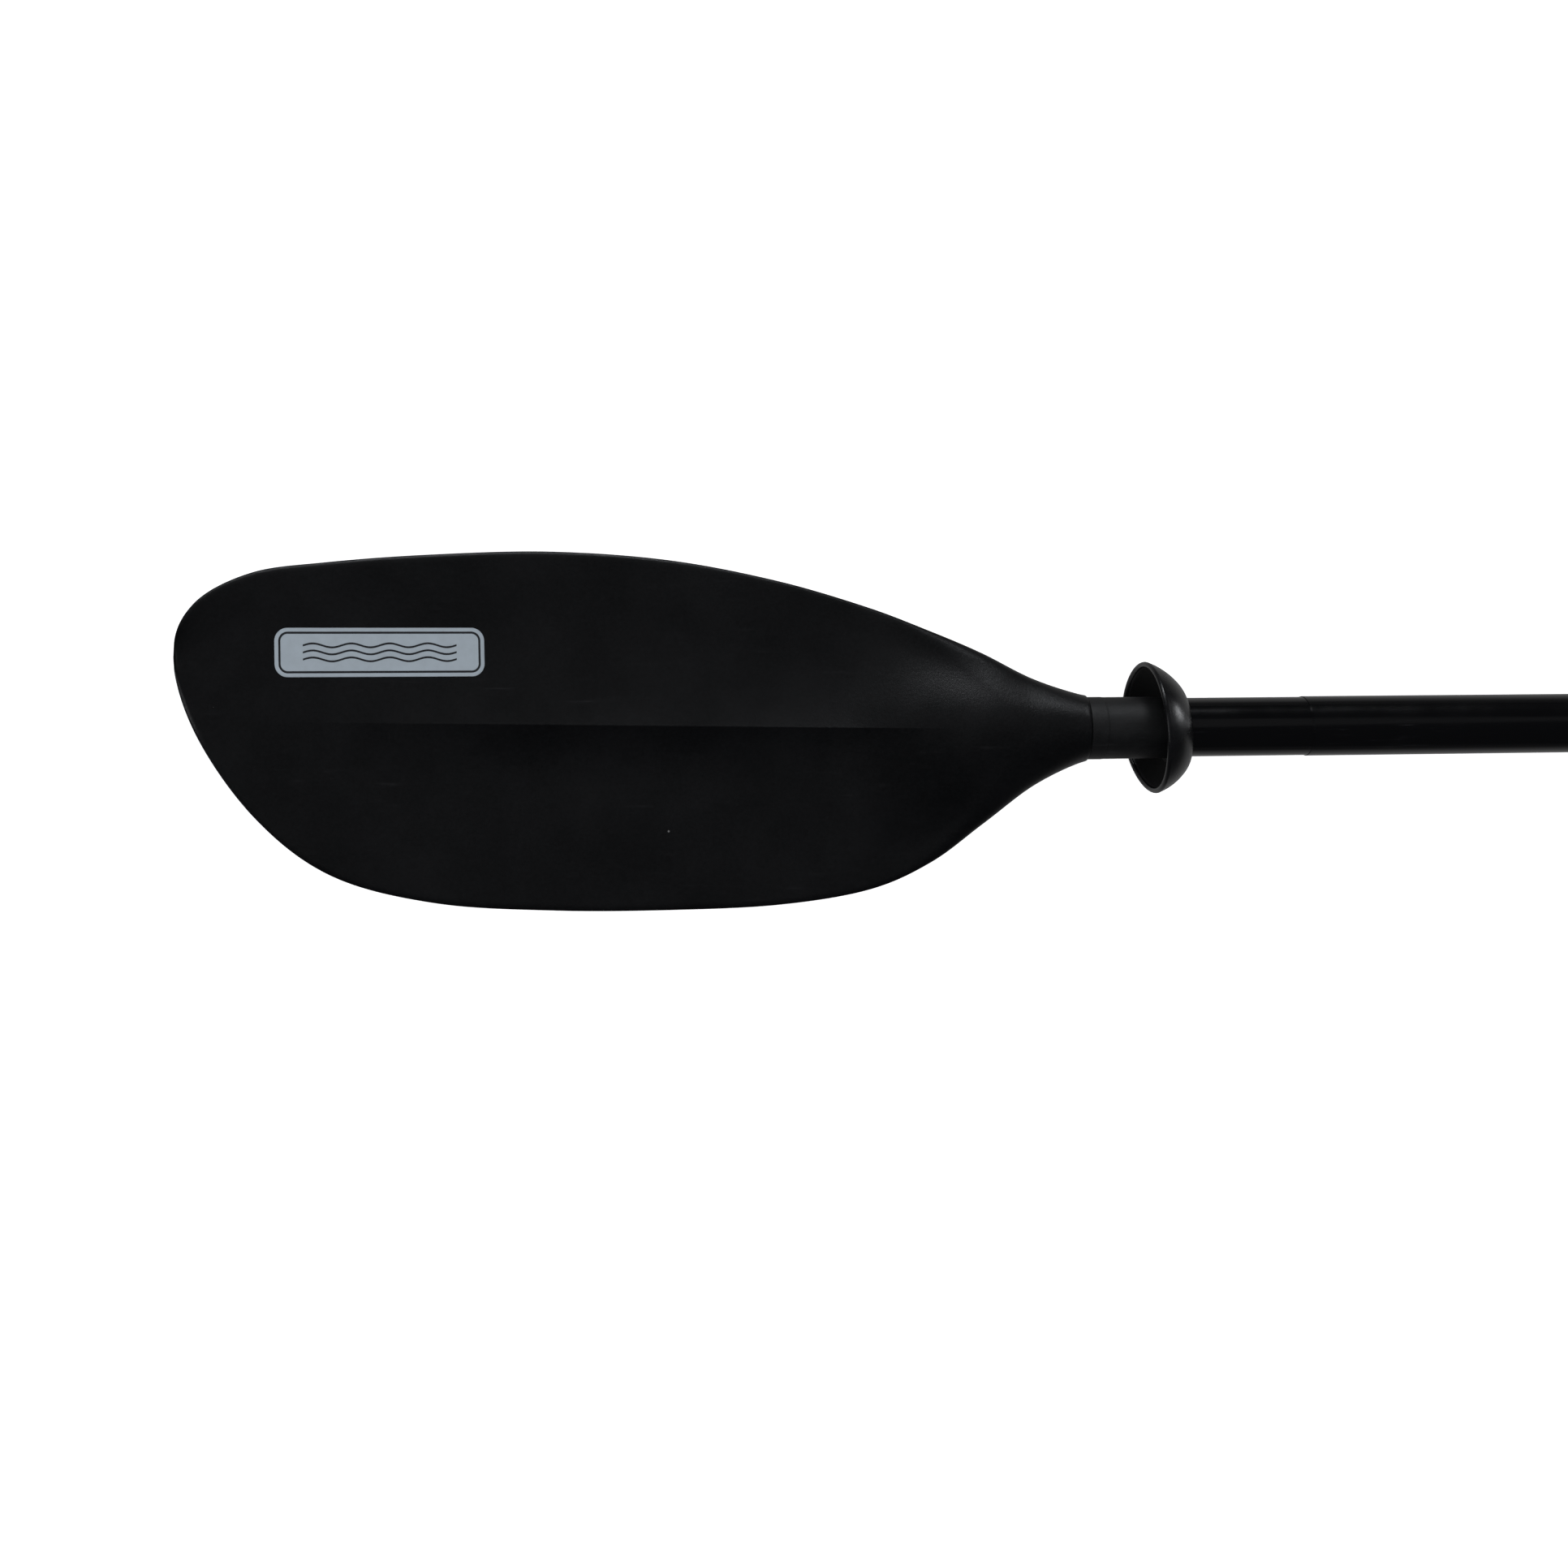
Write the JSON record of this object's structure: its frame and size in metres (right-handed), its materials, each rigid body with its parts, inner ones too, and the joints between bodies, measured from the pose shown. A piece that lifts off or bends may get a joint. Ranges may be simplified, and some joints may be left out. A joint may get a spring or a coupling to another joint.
{
  "type": "single blade paddle",
  "caption": "Single blade paddle: asymmetric spooned blade with a centre crease, sliding drip guard, two-piece alloy tube shaft with a snap button, and a T grip.",
  "frame": {"origin": "on the shaft's centre line, at the paddle clip's place on the grip sleeve, 245 mm from the mouth of the blade's neck", "axes": "+X along the shaft from the blade towards the T grip, +Y across the blade towards its upper, longer edge, +Z out of the power face"},
  "size_m": [1.2999, 0.168, 0.0638],
  "materials": {
    "blade_plastic": "fine-grained moulded polypropylene, matt",
    "collar_plastic": "matt shrink sleeve",
    "black_alloy": "black anodised and lacquered tube, gloss",
    "sleeve_film": "thin gloss shrink sleeve",
    "guard_rubber": "soft black rubber with a faint bloom",
    "joint_nylon": "glass-filled nylon, satin",
    "grip_plastic": "moulded plastic with a soft grain",
    "rivet_metal": "bare alloy, satin",
    "spring_steel": "stainless spring steel",
    "foam": "closed-cell foam",
    "seal_rubber": "nitrile rubber"
  },
  "bodies": {
    "blade_half": {"blade": "blade_plastic", "blade_rivet": "rivet_metal", "neck_collar": "collar_plastic", "lower_shaft": "black_alloy", "lower_foam_plug": "foam", "grip_sleeve": "sleeve_film", "ferrule_insert": "joint_nylon", "ferrule_rivets": "rivet_metal", "ferrule_seal": "seal_rubber", "insert_cap": "joint_nylon"},
    "guard": {"drip_guard": "guard_rubber"},
    "button": {"snap_button": "spring_steel"},
    "grip_half": {"joint_collar": "joint_nylon", "upper_shaft": "black_alloy", "upper_foam_plug": "foam", "t_grip": "grip_plastic", "t_grip_rivet": "rivet_metal"}
  },
  "joints": [
    {"name": "drip_guard_slide", "type": "slide", "parent": "blade_half", "child": "guard", "axis": [1, 0, 0], "range_m": [0, 0.058]},
    {"name": "snap_button_press", "type": "slide", "parent": "blade_half", "child": "button", "axis": [0, 0, -1], "range_m": [0, 0.0053], "stiffness_N_per_m": 2500, "springref_m": -0.002, "deforming": ["snap_button"]},
    {"name": "shaft_take_apart", "type": "slide", "parent": "blade_half", "child": "grip_half", "axis": [1, 0, 0], "range_m": [0, 0.1]}
  ]
}
